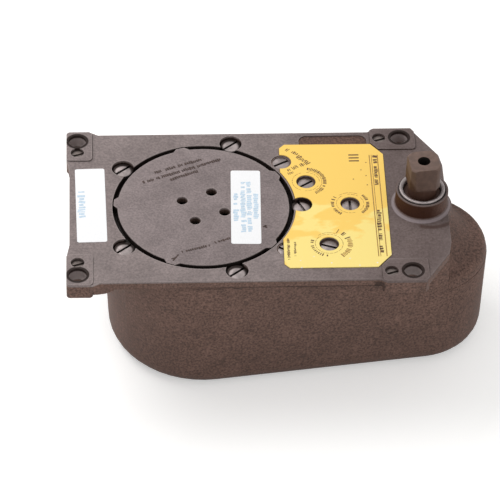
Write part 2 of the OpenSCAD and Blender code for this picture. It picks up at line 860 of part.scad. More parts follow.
module piston() {
    ball_r = 3;
    color("silver") difference() {
        union() {
            along_bore(bore_r - run, piston_left, piston_right);
            translate([0, 0, bore_z - rack_h / 2]) linear_extrude(rack_h) rack_outline();
        }
        difference() {
            along_bore(bore_r + 1, piston_left + 4, piston_left + 7);
            along_bore(bore_r - 2.5, piston_left + 3, piston_left + 8);
        }
        translate([0, ball_y, 0]) {
            along_bore(1.6, piston_left - 1, piston_right + 1);
            along_bore(ball_r + 0.15, piston_left + ball_seat_x, piston_right + 1);
        }
        translate([piston_right - 2.5, ball_y - 6, bore_z]) rotate([-90, 0, 0])
            cylinder(r = 1.01, h = 12);
    }
}

module piston_ring() {
    color("darkgoldenrod") difference() {
        along_bore(bore_r - run / 2, piston_left + 4.1, piston_left + 6.9);
        along_bore(bore_r - 2.4, piston_left + 3, piston_left + 8);
    }
}

module check_ball() {
    color("silver") translate([piston_left + ball_seat_x + 3.1, ball_y, bore_z]) sphere(r = 3);
}

// Cross pin that keeps the ball in its pocket
module ball_stop() {
    color("silver") translate([piston_right - 2.5, ball_y - 5.9, bore_z]) rotate([-90, 0, 0])
        cylinder(r = 1, h = 11.8);
}

module cylinder_plug() {
    color("silver") difference() {
        along_bore(plug_r - run / 5, plug_left, plug_right);
        difference() {
            along_bore(plug_r + 1, plug_left + 4, plug_left + 6.6);
            along_bore(plug_r - 2, plug_left + 3, plug_left + 8);
        }
        along_bore(5, plug_left - 1, plug_left + 3.5);
    }
}

module plug_seal() {
    color("black") difference() {
        along_bore(plug_r - run / 5, plug_left + 4.1, plug_left + 6.5);
        along_bore(plug_r - 1.9, plug_left + 3, plug_left + 8);
    }
}

// Needle valve: slotted head, waist with a sealing groove, and a cone at its tip
module valve(at, turn) {
    head_top = plate_top - head_drop;
    groove = head_top - 8;
    color("silver") translate([at[0], at[1], 0]) difference() {
        union() {
            rod(valve_r, valve_tip + 4, head_top);
            translate([0, 0, valve_tip + face_gap]) cylinder(r1 = 1.4, r2 = valve_r, h = 4);
        }
        tube(valve_r + 1, valve_r - 1.4, groove - 2.2, groove);
        slot(valve_r, head_top, turn);
    }
}

module closing_valve() { valve(closing_at, 90); }
module latching_valve() { valve(latching_at, 35); }
module backcheck_valve() { valve(backcheck_at, -20); }

module valve_seals() {
    groove = plate_top - head_drop - 8;
    color("black") for (at = [closing_at, latching_at, backcheck_at])
        translate([at[0], at[1], 0]) tube(valve_r + run, valve_r - 1.35, groove - 2.1, groove - 0.1);
}

module filler_plugs() {
    head_top = plate_top - 1;
    color("silver") for (s = [-1, 1]) translate([filler_at[0], s * filler_at[1], 0]) difference() {
        rod(filler_r, filler_low, head_top);
        slot(filler_r, head_top, 30 * s);
    }
}

module level_screw(low) {
    difference() {
        rod(level_r, low, -2);
        slot(level_r, -2, 20);
    }
}

module levelling_screws() {
    color("gray") for (s = [-1, 1]) {
        translate([-lug_x, s * (lug_y - level_left_dy), 0]) level_screw(-lug_left_t + 0.4);
        translate([lug_x - level_right_dx, s * lug_y, 0]) level_screw(-lug_right_t + 0.4);
    }
}

// ---- instruction plate and paper labels ----

module instruction_outline() {
    x0 = spindle_x - 87.5;
    x1 = spindle_x - 20.8;
    y1 = plate_half_w - 11.6;
    y0 = -plate_half_w + 10.2;
    difference() {
        polygon([
            [x0, y0 + 3.5], [x0 + 3.2, y0], [x1 - 9.6, y0], [x1 - 0.8, y0 + 10.6],
            [x1, y1 - 10.1], [x1 - 7.5, y1 - 0.3], [x0 + 4.7, y1], [x0 + 1.3, y1 - 3.4]
        ]);
        translate([spring_x, 0]) circle(cap_hole_r + 1);
        translate([spring_x + screw_ring_r, 0]) circle(screw_head_r + 0.6);
        translate(filler_at) circle(filler_r + filler_rim + 0.3);
        for (at = [closing_at, latching_at, backcheck_at]) translate(at) circle(valve_r + 1.1);
    }
}

module instruction_plate() {
    color("gold") translate([0, 0, plate_top]) linear_extrude(plate_label_t) instruction_outline();
}

// Paper label, its centre and its turn
module paper_label(x, y, turn) {
    color("white") translate([x, y, plate_top]) rotate(turn) linear_extrude(paper_t)
        round_rect(-paper_w / 2, paper_w / 2, -paper_len / 2, paper_len / 2, 1.5);
}

module end_label() { paper_label(-lug_x + 8.3, 2, 1.2); }
module cap_label() { paper_label(spring_x + 26.3, -1.4, -1.6); }

case();
spring_cap();
cap_gasket();
cap_screws();
torsion_spring();
spring_shaft();
spring_carrier();
carrier_bush();
carrier_ring();
carrier_pin();
carrier_pin_clip();
link();
spindle();
spindle_crank();
crank_key();
crank_ring();
crank_pin();
crank_pin_clip();
lower_bush();
thrust_disc();
upper_bush();
shaft_seal();
seal_retainer();
piston();
piston_ring();
check_ball();
ball_stop();
cylinder_plug();
plug_seal();
closing_valve();
latching_valve();
backcheck_valve();
valve_seals();
filler_plugs();
levelling_screws();
instruction_plate();
end_label();
cap_label();
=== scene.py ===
import math
import random

import bmesh
import bpy
from mathutils import Matrix, Vector


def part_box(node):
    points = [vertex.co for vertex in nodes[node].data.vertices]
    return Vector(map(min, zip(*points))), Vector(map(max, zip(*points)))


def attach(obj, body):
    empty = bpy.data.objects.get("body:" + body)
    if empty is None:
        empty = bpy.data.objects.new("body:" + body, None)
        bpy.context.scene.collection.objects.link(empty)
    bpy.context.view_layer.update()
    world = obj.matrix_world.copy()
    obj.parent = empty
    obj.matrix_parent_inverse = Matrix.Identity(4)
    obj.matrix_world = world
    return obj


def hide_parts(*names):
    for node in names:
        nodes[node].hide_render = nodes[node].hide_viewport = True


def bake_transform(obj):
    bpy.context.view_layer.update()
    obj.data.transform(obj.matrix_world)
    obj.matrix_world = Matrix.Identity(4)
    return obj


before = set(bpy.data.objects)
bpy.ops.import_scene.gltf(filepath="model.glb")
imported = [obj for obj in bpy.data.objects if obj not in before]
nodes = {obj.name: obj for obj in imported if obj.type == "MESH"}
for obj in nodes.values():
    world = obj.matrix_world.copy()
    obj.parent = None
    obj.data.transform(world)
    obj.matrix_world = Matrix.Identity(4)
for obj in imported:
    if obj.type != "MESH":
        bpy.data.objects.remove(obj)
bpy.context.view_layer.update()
MM = 0.001


# ---- Mounting case ----
# One grey-iron sand casting: flange, lugs, spring drum and spindle chamber in one.
# The mould leaves an even grit, soft edges and filled corners, and it is dipped in
# a thin grey-brown primer. Its recesses get painted shade.

def linear(code):
    """sRGB hex, such as "8b807d", as linear red, green, blue and alpha."""
    parts = [int(code[i:i + 2], 16) / 255 for i in (0, 2, 4)]
    return [c / 12.92 if c <= 0.04045 else ((c + 0.055) / 1.055) ** 2.4 for c in parts] + [1.0]


def add(material, kind, inputs=None, **settings):
    """Adds a shader node. An input's value is a number, a colour, or (node, output) to link.

    A colour Mix takes its share at 0 and its colours at 6 and 7, and gives its colour at 2.
    """
    made = material.node_tree.nodes.new("ShaderNode" + kind)
    for name, value in settings.items():
        setattr(made, name, value)
    for name, value in (inputs or {}).items():
        if isinstance(value, tuple) and isinstance(value[0], bpy.types.Node):
            material.node_tree.links.new(value[0].outputs[value[1]], made.inputs[name])
        else:
            made.inputs[name].default_value = value
    return made


def new_material(name):
    """A material with an empty node tree."""
    material = bpy.data.materials.new(name)
    material.use_nodes = True
    material.node_tree.nodes.clear()
    return material


def sand_cast(name, face, wall, grit_mm, relief_mm):
    """Primed sand-cast iron, with painted light: the top's upward faces get the lighter face
    colour, as lit, and walls the darker wall colour, as shaded.
    """
    material = new_material(name)
    place = add(material, "TexCoord")
    surface = add(material, "NewGeometry")
    facing = add(material, "SeparateXYZ", {"Vector": (surface, "True Normal")})
    spot = add(material, "SeparateXYZ", {"Vector": (place, "Object")})
    # painted light: upward faces at the top of the casting get the lighter face colour, and those
    # in its recesses keep the darker wall colour as painted shade
    upward = add(material, "MapRange", {
        "Value": (facing, "Z"), "From Min": 0.3, "From Max": 0.9})
    top_level = add(material, "MapRange", {
        "Value": (spot, "Z"), "From Min": -1.5 * MM, "From Max": -1.15 * MM})
    lit_flat_top = add(material, "Math", {0: (upward, "Result"), 1: (top_level, "Result")},
                   operation="MULTIPLY")
    # painted highlight: the lip of the flange and of its pads gets the lighter colour as well, down
    # to about a millimetre
    lip_foot = add(material, "MapRange", {
        "Value": (spot, "Z"), "From Min": -2.5 * MM, "From Max": -1.9 * MM})
    lip_head = add(material, "MapRange", {
        "Value": (spot, "Z"), "From Min": 0.1 * MM, "From Max": 0.3 * MM,
        "To Min": 1.0, "To Max": 0.0})
    sideways = add(material, "Math", {0: (lip_head, "Result"), 1: (upward, "Result")},
                   operation="SUBTRACT", use_clamp=True)
    lit_lip = add(material, "Math", {0: (lip_foot, "Result"), 1: (sideways, 0)},
              operation="MULTIPLY")
    lit_top_and_lip = add(material, "Math", {0: (lit_flat_top, 0), 1: (lit_lip, 0)}, operation="MAXIMUM")
    primer = add(material, "Mix", {
        0: (lit_top_and_lip, 0), 6: linear(wall), 7: linear(face)}, data_type="RGBA")
    # primer lies thicker and thinner over patches about 18 mm across
    patches = add(material, "TexNoise", {
        "Vector": (place, "Object"), "Scale": 1 / (18 * MM), "Detail": 3.0})
    thick = add(material, "MapRange", {
        "Value": (patches, "Fac"), "From Min": 0.38, "From Max": 0.66,
        "To Min": 0.90, "To Max": 1.08})
    patchy = add(material, "Mix", {
        0: 1.0, 6: (primer, 2), 7: (thick, "Result")}, data_type="RGBA", blend_type="MULTIPLY")
    grit = add(material, "TexNoise", {
        "Vector": (place, "Object"), "Scale": 1 / (grit_mm * MM), "Detail": 2.0, "Roughness": 0.65})
    speck = add(material, "MapRange", {
        "Value": (grit, "Fac"), "From Min": 0.34, "From Max": 0.68,
        "To Min": 0.5, "To Max": 1.5})
    # rubbing evens the grit out on the top faces and the lip
    coarse = add(material, "MapRange", {"Value": (lit_top_and_lip, 0), "To Min": 1.0, "To Max": 0.45})
    gritty = add(material, "Mix", {
        0: (coarse, "Result"), 6: (patchy, 2), 7: (speck, "Result")},
        data_type="RGBA", blend_type="MULTIPLY")
    # edges near the top are painted lighter, partly wear of the primer and partly a painted
    # highlight: their smoothed normal leaves the flat one
    rounded = add(material, "Bevel", {"Radius": 0.8 * MM}, samples=4)
    bend = add(material, "VectorMath", {0: (rounded, 0), 1: (surface, "True Normal")},
               operation="DOT_PRODUCT")
    edge = add(material, "MapRange", {
        "Value": (bend, "Value"), "From Min": 0.985, "From Max": 0.90,
        "To Min": 0.0, "To Max": 0.55})
    worn_and_lit_edge = add(material, "Math", {0: (edge, "Result"), 1: (lip_foot, "Result")},
                    operation="MULTIPLY")
    edge_worn_and_lit = add(material, "Mix", {
        0: (worn_and_lit_edge, 0), 6: (gritty, 2), 7: linear("b3a6a3")}, data_type="RGBA")
    # painted shade: the shade under the flange and lugs is painted dark brown, and inside corners
    # near-black (the dirt mask is painted shade)
    near = add(material, "AmbientOcclusion", {"Distance": 3.5 * MM}, samples=8)
    dirt = add(material, "MapRange", {
        "Value": (near, "AO"), "From Min": 0.42, "From Max": 0.86,
        "To Min": 0.96, "To Max": 0.0})
    wide = add(material, "AmbientOcclusion", {"Distance": 14 * MM}, samples=8)
    broad_shade = add(material, "MapRange", {
        "Value": (wide, "AO"), "From Min": 0.35, "From Max": 0.8,
        "To Min": 0.5, "To Max": 0.0})
    broadly_shaded = add(material, "Mix", {
        0: (broad_shade, "Result"), 6: (edge_worn_and_lit, 2), 7: linear("35241d")}, data_type="RGBA")
    recess_shaded = add(material, "Mix", {
        0: (dirt, "Result"), 6: (broadly_shaded, 2), 7: linear("150c08")}, data_type="RGBA")
    pits = add(material, "TexVoronoi", {"Vector": (place, "Object"), "Scale": 1 / (2.2 * MM)})
    pit = add(material, "MapRange", {
        "Value": (pits, "Distance"), "From Min": 0.0, "From Max": 0.4})
    relief = add(material, "Math", {0: (grit, "Fac"), 1: (pit, "Result")}, operation="ADD")
    bump = add(material, "Bump", {
        "Height": (relief, 0), "Strength": 0.8, "Distance": relief_mm * MM})
    sheen = add(material, "MapRange", {
        "Value": (grit, "Fac"), "From Min": 0.34, "From Max": 0.68,
        "To Min": 0.55, "To Max": 0.8})
    shader = add(material, "BsdfPrincipled", {
        "Base Color": (recess_shaded, 2), "Roughness": (sheen, "Result"), "Normal": (bump, 0),
        "IOR": 1.48, "Specular IOR Level": 0.22})
    add(material, "OutputMaterial", {"Surface": (shader, 0)})
    return material


def dress(piece, material):
    """Gives a piece one material."""
    piece.data.materials.clear()
    piece.data.materials.append(material)


def soften(piece, width_mm, segments=2):
    """Rounds a solid's sharp edges by width_mm, as a mould, a file or tumbling leaves them."""
    weld = piece.modifiers.new("join faces", "WELD")
    weld.merge_threshold = 2e-6
    flat = piece.modifiers.new("flat faces", "DECIMATE")
    flat.decimate_type = "DISSOLVE"
    flat.angle_limit = math.radians(0.6)
    edge = piece.modifiers.new("soft edges", "BEVEL")
    edge.width = width_mm * MM
    edge.segments = segments
    edge.limit_method = "ANGLE"
    edge.angle_limit = math.radians(30)
    edge.miter_outer = "MITER_ARC"
    edge.harden_normals = True
    for face in piece.data.polygons:
        face.use_smooth = True


def round_axis(material, x_mm, y_mm, mirrored=False):
    """Distance in metres from an upright axis. Mirrored, it has a copy in each corner."""
    spot = (add(material, "TexCoord"), "Object")
    if mirrored:
        spot = (add(material, "VectorMath", {0: spot}, operation="ABSOLUTE"), 0)
    flat = add(material, "VectorMath", {0: spot, 1: (1, 1, 0)}, operation="MULTIPLY")
    far = add(material, "VectorMath", {0: (flat, 0), 1: (x_mm * MM, y_mm * MM, 0)},
              operation="DISTANCE")
    return far, "Value"


def between(material, source, low_mm, high_mm, soft_mm):
    """1 where a length lies from low_mm to high_mm, with soft ends."""
    rise = add(material, "MapRange", {
        "Value": source, "From Min": (low_mm - soft_mm) * MM, "From Max": (low_mm + soft_mm) * MM})
    fall = add(material, "MapRange", {
        "Value": source, "From Min": (high_mm - soft_mm) * MM, "From Max": (high_mm + soft_mm) * MM,
        "To Min": 1.0, "To Max": 0.0})
    inside = add(material, "Math", {0: (rise, "Result"), 1: (fall, "Result")},
                 operation="MULTIPLY")
    return inside, 0


def stain(material, below, code, share, *masks):
    """Lays a stain over a colour where all the masks agree."""
    here = masks[0]
    for mask in masks[1:]:
        here = (add(material, "Math", {0: here, 1: mask}, operation="MULTIPLY"), 0)
    amount = add(material, "Math", {0: here, 1: share}, operation="MULTIPLY")
    stained = add(material, "Mix", {0: (amount, 0), 6: below, 7: linear(code)}, data_type="RGBA")
    return stained, 2


def colour_of(material):
    """The colour that a material's shader is given, to be stained further."""
    shader = material.node_tree.nodes["Principled BSDF"]
    return shader.inputs["Base Color"].links[0].from_node, 2


def recolour(material, colour):
    """Gives a material's shader a new colour."""
    shader = material.node_tree.nodes["Principled BSDF"]
    material.node_tree.links.new(colour[0].outputs[colour[1]], shader.inputs["Base Color"])


cast_iron = sand_cast("primed sand-cast iron", "867a78", "6d554c", grit_mm=1.4, relief_mm=0.12)
case_spot = add(cast_iron, "SeparateXYZ", {"Vector": (add(cast_iron, "TexCoord"), "Object")})

# painted shade: the top faces darken towards the spindle's end, as the light falls off
far_right = add(cast_iron, "MapRange", {
    "Value": (case_spot, "X"), "From Min": 15 * MM, "From Max": 95 * MM})
top_side = add(cast_iron, "MapRange", {
    "Value": (case_spot, "Z"), "From Min": -2.6 * MM, "From Max": -2.2 * MM})
colour = stain(cast_iron, colour_of(cast_iron), "3c2117", 0.46,
               (far_right, "Result"), (top_side, "Result"))

# the walls darken towards their foot
low_down = add(cast_iron, "MapRange", {
    "Value": (case_spot, "Z"), "From Min": -30 * MM, "From Max": -95 * MM})
colour = stain(cast_iron, colour, "3f2f29", 0.3, (low_down, "Result"))

# painted light round the boss: a painted highlight ring round its foot, painted shade on its
# wall, most on its left, a painted shadow on the flange in front of it, and a black line of
# painted shade in the gap round the seal's ring
spindle_x_mm = 111.5
axis_far = round_axis(cast_iron, spindle_x_mm, 0)
leftward = add(cast_iron, "MapRange", {
    "Value": (case_spot, "X"), "From Min": 115 * MM, "From Max": 124 * MM,
    "To Min": 1.0, "To Max": 0.1})
frontward = add(cast_iron, "MapRange", {
    "Value": (case_spot, "Y"), "From Min": -6 * MM, "From Max": 4 * MM,
    "To Min": 1.0, "To Max": 0.0})
colour = stain(cast_iron, colour, "a3979a", 0.6,
               between(cast_iron, axis_far, 16.9, 18.7, 0.3),
               between(cast_iron, (case_spot, "Z"), -1.1, 1.2, 0.15))
colour = stain(cast_iron, colour, "3a1e11", 0.95,
               between(cast_iron, axis_far, 15.6, 17.0, 0.2),
               between(cast_iron, (case_spot, "Z"), 0.9, 10.7, 0.4), (leftward, "Result"))
colour = stain(cast_iron, colour, "3d2418", 0.6, (frontward, "Result"),
               between(cast_iron, round_axis(cast_iron, 116, -1), 19.6, 22.6, 0.8),
               between(cast_iron, (case_spot, "X"), 109, 140, 1.0),
               between(cast_iron, (case_spot, "Z"), -1.2, -0.5, 0.1))
colour = stain(cast_iron, colour, "120a06", 0.95, (frontward, "Result"),
               between(cast_iron, axis_far, 14.0, 15.1, 0.1),
               between(cast_iron, (case_spot, "Z"), 9.0, 12.0, 0.1))

# each mounting hole's bore is painted light grey, a painted highlight where its far wall is lit,
# and a near-black ring is laid round its rim
bolt_x_mm, bolt_y_mm = 102, 61
hole_far = round_axis(cast_iron, bolt_x_mm, bolt_y_mm, mirrored=True)
colour = stain(cast_iron, colour, "9a8e8c", 1.0,
               between(cast_iron, hole_far, -1.0, 5.75, 0.05),
               between(cast_iron, (case_spot, "Z"), -9.0, -2.3, 0.5))
colour = stain(cast_iron, colour, "1c0e08", 0.97,
               between(cast_iron, hole_far, 5.1, 7.1, 0.2),
               between(cast_iron, (case_spot, "Z"), -1.9, 1.0, 0.3))

# painted shade: the groove round the lid is painted near-black, and painted shadow lies under the
# flange's sides and beside the right-hand lugs
spring_x_mm = -24
colour = stain(cast_iron, colour, "120a06", 0.97,
               between(cast_iron, round_axis(cast_iron, spring_x_mm, 0), 52.0, 57.2, 0.1),
               between(cast_iron, (case_spot, "Z"), -12.0, -1.5, 0.15))
off_middle = add(cast_iron, "Math", {0: (case_spot, "Y")}, operation="ABSOLUTE")
along = add(cast_iron, "MapRange", {
    "Value": (case_spot, "X"), "From Min": -70 * MM, "From Max": 30 * MM,
    "To Min": 0.1, "To Max": 1.0})
colour = stain(cast_iron, colour, "24160f", 0.75, (along, "Result"),
               between(cast_iron, (off_middle, 0), 55, 80, 1.0),
               between(cast_iron, (case_spot, "X"), -90, 82.5, 1.0),
               between(cast_iron, (case_spot, "Z"), -12.8, -6.1, 0.5))
colour = stain(cast_iron, colour, "24160f", 0.7,
               between(cast_iron, (off_middle, 0), 62, 80, 0.5),
               between(cast_iron, (case_spot, "X"), 78.5, 84.6, 0.6),
               between(cast_iron, (case_spot, "Z"), -12.8, -3.0, 0.8))
recolour(cast_iron, colour)
dress(nodes["case"], cast_iron)
soften(nodes["case"], 0.6)


# ---- Spring cap ----
# A cast lid over the spring chamber, turned true at its rim, with five index tabs
# and four spanner holes. Its face keeps a finer grit than the case.

cap_iron = sand_cast("primed cast iron lid", "867a79", "5c4a42", grit_mm=1.2, relief_mm=0.05)
cap_spot = add(cap_iron, "SeparateXYZ", {"Vector": (add(cap_iron, "TexCoord"), "Object")})
# painted shade: the lid's rim inside the groove is painted near-black
recolour(cap_iron, stain(
    cap_iron, colour_of(cap_iron), "120a06", 1.0,
    between(cap_iron, round_axis(cap_iron, spring_x_mm, 0), 48.0, 60.0, 0.5),
    between(cap_iron, (cap_spot, "Z"), -12.0, -1.5, 0.15)))
dress(nodes["spring_cap"], cap_iron)
soften(nodes["spring_cap"], 0.35)


def raised_marks(name, marks, low, high):
    """One mesh of small bars from low to high, in mm. A mark is x, y, length, width, degrees."""
    shape = bmesh.new()
    for x, y, length, width, turn in marks:
        bar = Matrix.Translation((x * MM, y * MM, (low + high) / 2 * MM)) \
            @ Matrix.Rotation(math.radians(turn), 4, "Z") \
            @ Matrix.Diagonal((length * MM, width * MM, (high - low) * MM, 1))
        bmesh.ops.create_cube(shape, size=1.0, matrix=bar)
    mesh = bpy.data.meshes.new(name)
    shape.to_mesh(mesh)
    shape.free()
    piece = bpy.data.objects.new(name, mesh)
    bpy.context.scene.collection.objects.link(piece)
    return piece


missing_share = 0.12  # of the marks in a row, worn away


def row(start, end, width, chance, lengths=(0.9, 2.0), gap=0.55):
    """Bars of uneven length along a straight row, in mm, like worn marks with no words."""
    run_x, run_y = end[0] - start[0], end[1] - start[1]
    reach, turn = math.hypot(run_x, run_y), math.degrees(math.atan2(run_y, run_x))
    marks, at = [], 0.0
    while at < reach:
        length = min(chance.uniform(*lengths), reach - at + 0.2)
        middle = (at + length / 2) / reach
        if chance.random() > missing_share:
            across = chance.uniform(-0.1, 0.1) * width / reach
            marks.append((start[0] + run_x * middle - run_y * across,
                          start[1] + run_y * middle + run_x * across,
                          length, width * chance.uniform(0.6, 1.1), turn + chance.uniform(-12, 12)))
        at += length + gap
    return marks


def worn_film(name, code, darkest, lightest, roughness):
    """Ink or settled dirt that has worn thin in places, so its tone wanders."""
    material = new_material(name)
    place = add(material, "TexCoord")
    thin = add(material, "TexNoise", {
        "Vector": (place, "Object"), "Scale": 1 / (1.3 * MM), "Detail": 2.0})
    tone = add(material, "MapRange", {
        "Value": (thin, "Fac"), "From Min": 0.3, "From Max": 0.7,
        "To Min": darkest, "To Max": lightest})
    colour = add(material, "Mix", {
        0: 1.0, 6: linear(code), 7: (tone, "Result")}, data_type="RGBA", blend_type="MULTIPLY")
    shader = add(material, "BsdfPrincipled", {
        "Base Color": (colour, 2), "Roughness": roughness, "IOR": 1.5})
    add(material, "OutputMaterial", {"Surface": (shader, 0)})
    return material


# cast-in marks on the lid: three slanting rows at the back, two short ones at the front,
# an index line near the rim and a small cross
cap_chance = random.Random(11)
strokes = dict(lengths=(0.5, 1.2), gap=0.5)
cap_marks = row((-53.6, 31.3), (-24.3, 43.2), 2.3, cap_chance, **strokes)
cap_marks += row((-61.1, 22.3), (-12.4, 43.0), 2.3, cap_chance, **strokes)
cap_marks += row((-44.0, 24.7), (-25.0, 32.9), 2.3, cap_chance, **strokes)
cap_marks += row((-38.3, -41.3), (-21.0, -35.6), 1.8, cap_chance, **strokes)
cap_marks += row((-17.8, -33.4), (-8.7, -29.6), 1.8, cap_chance, **strokes)
cap_marks += [(-42.2, -46.2, 6.4, 0.7, 57), (-43.6, -46.8, 2.6, 0.7, 20)]
cap_marks += [(13.4, -19.1, 2.4, 1.0, 30), (13.9, -19.6, 1.0, 2.2, 30)]
cap_stamps = raised_marks("cap_stamps", cap_marks, low=-1.1, high=-0.72)
dress(cap_stamps, worn_film("oily dirt in cast-in marks", "45332d", 0.6, 1.35, 0.7))
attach(cap_stamps, "adjusting_cap")


# ---- Clamp, filler and levelling screws ----
# Steel screws with a sawn slot, dull from plating and handling, and the valves and the
# cylinder's plug, made the same way. Painted shade darkens their slots and round the heads.

def dull_steel(name, bright, oily, roughness, stroke_mm, metallic=1.0, back_shade=0.0):
    """Worked steel: fine strokes and cloudy plating, with painted shade in its corners and, by
    back_shade, on its back.
    """
    material = new_material(name)
    place = add(material, "TexCoord")
    drawn = add(material, "Mapping", {
        "Vector": (place, "Object"), "Scale": (1.0, 6.0, 1.0)})
    strokes = add(material, "TexNoise", {
        "Vector": (drawn, 0), "Scale": 1 / (stroke_mm * 6 * MM), "Detail": 3.0})
    clouds = add(material, "TexNoise", {
        "Vector": (place, "Object"), "Scale": 1 / (3.5 * MM), "Detail": 2.0})
    # painted shade: corners are darkened towards the dark colour given as oily, and faces turned to
    # the back as well, by back_shade
    open_air = add(material, "AmbientOcclusion", {"Distance": 2.5 * MM}, samples=8)
    dirt = add(material, "MapRange", {
        "Value": (open_air, "AO"), "From Min": 0.3, "From Max": 0.85,
        "To Min": 0.9, "To Max": 0.0})
    worn = add(material, "MapRange", {
        "Value": (clouds, "Fac"), "From Min": 0.35, "From Max": 0.7,
        "To Min": 0.72, "To Max": 1.1})
    cloudy = add(material, "Mix", {
        0: 1.0, 6: linear(bright), 7: (worn, "Result")}, data_type="RGBA", blend_type="MULTIPLY")
    facing = add(material, "SeparateXYZ", {
        "Vector": (add(material, "NewGeometry"), "Normal")})
    behind = add(material, "MapRange", {
        "Value": (facing, "Y"), "From Min": 0.04, "From Max": 0.4, "To Min": 0.0, "To Max": back_shade})
    shade_share = add(material, "Math", {0: (dirt, "Result"), 1: (behind, "Result")},
                operation="MAXIMUM")
    colour = add(material, "Mix", {
        0: (shade_share, 0), 6: (cloudy, 2), 7: linear(oily)}, data_type="RGBA")
    gloss = add(material, "MapRange", {
        "Value": (clouds, "Fac"), "From Min": 0.3, "From Max": 0.7,
        "To Min": roughness - 0.08, "To Max": roughness + 0.12})
    bump = add(material, "Bump", {
        "Height": (strokes, "Fac"), "Strength": 0.35, "Distance": 0.03 * MM})
    shader = add(material, "BsdfPrincipled", {
        "Base Color": (colour, 2), "Metallic": metallic, "Roughness": (gloss, "Result"),
        "Normal": (bump, 0)})
    add(material, "OutputMaterial", {"Surface": (shader, 0)})
    return material


def near_any(material, spots):
    """Distance, in metres, from the nearest of several upright axes."""
    nearest = None
    for x, y in spots:
        axis = round_axis(material, x, y)
        nearest = axis if nearest is None else (
            add(material, "Math", {0: nearest, 1: axis}, operation="MINIMUM"), 0)
    return nearest


plated_screw = dull_steel("dull zinc-plated steel", "a39896", "1a100c",
                          roughness=0.38, stroke_mm=0.15, metallic=0.8, back_shade=0.92)
for name in ("filler_plugs", "closing_valve", "latching_valve", "backcheck_valve",
             "cylinder_plug"):
    dress(nodes[name], plated_screw)
    soften(nodes[name], 0.7, segments=3)

# painted shadow: the back of each clamp screw's head is painted near-black, as shaded by its
# pocket's wall
clamp_screw = plated_screw.copy()
clamp_screw.name = "zinc-plated steel with painted shade"
clamp_count, clamp_circle_mm, shadow_offset_mm = 5, 61.1, 1.3
clamp_turns = [2 * math.pi * screw / clamp_count for screw in range(clamp_count)]
clamp_heads = [(spring_x_mm + clamp_circle_mm * math.cos(turn),
                clamp_circle_mm * math.sin(turn) - shadow_offset_mm) for turn in clamp_turns]
pocket_shade = add(clamp_screw, "MapRange", {
    "Value": near_any(clamp_screw, clamp_heads), "From Min": 4.3 * MM, "From Max": 5.4 * MM})
recolour(clamp_screw, stain(
    clamp_screw, colour_of(clamp_screw), "1c100b", 0.97, (pocket_shade, "Result")))
dress(nodes["cap_screws"], clamp_screw)
soften(nodes["cap_screws"], 0.7, segments=3)

# the levelling screws were in place when the case was dipped, so primer fills their slots
primed_screw = dull_steel("primed steel screw", "80746f", "20140f",
                          roughness=0.6, stroke_mm=0.4, metallic=0.1, back_shade=0.3)
dress(nodes["levelling_screws"], primed_screw)
soften(nodes["levelling_screws"], 0.45)


# ---- Instruction plate ----
# Thin aluminium sheet, stoved yellow and screen-printed in brown, glued to the
# flange. It has lost specks towards the front edge, and its paler drifts are painted glare.

stoved = new_material("stoved yellow aluminium")
plate_place = add(stoved, "TexCoord")
plate_spot = add(stoved, "SeparateXYZ", {"Vector": (plate_place, "Object")})
stretched = add(stoved, "Mapping", {
    "Vector": (plate_place, "Object"), "Scale": (0.55, 1.0, 1.0)})
# paler drifts are partly random tone and partly painted glare, weighted towards the front edge
drift = add(stoved, "TexNoise", {
    "Vector": (stretched, 0), "Scale": 1 / (17 * MM), "Detail": 4.0, "Roughness": 0.55})
front_glare = add(stoved, "MapRange", {
    "Value": (plate_spot, "Y"), "From Min": -56 * MM, "From Max": 30 * MM,
    "To Min": 0.20, "To Max": -0.22})
glare_drift = add(stoved, "Math", {0: (drift, "Fac"), 1: (front_glare, "Result")}, operation="ADD")
pale_share = add(stoved, "MapRange", {
    "Value": (glare_drift, 0), "From Min": 0.52, "From Max": 0.58})
yellow = add(stoved, "Mix", {
    0: (pale_share, "Result"), 6: linear("ffd468"), 7: linear("ffe688")}, data_type="RGBA")
chips = add(stoved, "TexVoronoi", {
    "Vector": (plate_place, "Object"), "Scale": 1 / (5.0 * MM)})
chip_here = add(stoved, "MapRange", {
    "Value": (chips, "Distance"), "From Min": 0.10, "From Max": 0.13,
    "To Min": 1.0, "To Max": 0.0})
front_edge = add(stoved, "MapRange", {
    "Value": (plate_spot, "Y"), "From Min": -54 * MM, "From Max": -42 * MM,
    "To Min": 1.0, "To Max": 0.0})
chipped = add(stoved, "Math", {0: (chip_here, "Result"), 1: (front_edge, "Result")},
              operation="MULTIPLY")
plate_colour = add(stoved, "Mix", {
    0: (chipped, 0), 6: (yellow, 2), 7: linear("f6f1e6")}, data_type="RGBA")
peel = add(stoved, "TexNoise", {
    "Vector": (plate_place, "Object"), "Scale": 1 / (0.7 * MM), "Detail": 2.0})
stoved_bump = add(stoved, "Bump", {
    "Height": (peel, "Fac"), "Strength": 0.15, "Distance": 0.02 * MM})
stoved_gloss = add(stoved, "MapRange", {
    "Value": (peel, "Fac"), "From Min": 0.3, "From Max": 0.7, "To Min": 0.42, "To Max": 0.58})
stoved_shader = add(stoved, "BsdfPrincipled", {
    "Base Color": (plate_colour, 2), "Roughness": (stoved_gloss, "Result"),
    "Normal": (stoved_bump, 0), "IOR": 1.5})
add(stoved, "OutputMaterial", {"Surface": (stoved_shader, 0)})
dress(nodes["instruction_plate"], stoved)


def arc(centre, radius, start, end, height, chance, lengths=(0.4, 1.0), gap=0.45):
    """Bars round part of a circle, in mm, from start to end in degrees, each height tall."""
    marks, at = [], start
    while at < end:
        size = chance.uniform(*lengths)
        step = math.degrees(size / radius)
        if chance.random() > missing_share:
            turn = math.radians(at + step / 2)
            marks.append((centre[0] + radius * math.cos(turn), centre[1] + radius * math.sin(turn),
                          size, height * chance.uniform(0.7, 1.1), at + step / 2 + 90))
        at += step + math.degrees(gap / radius)
    return marks


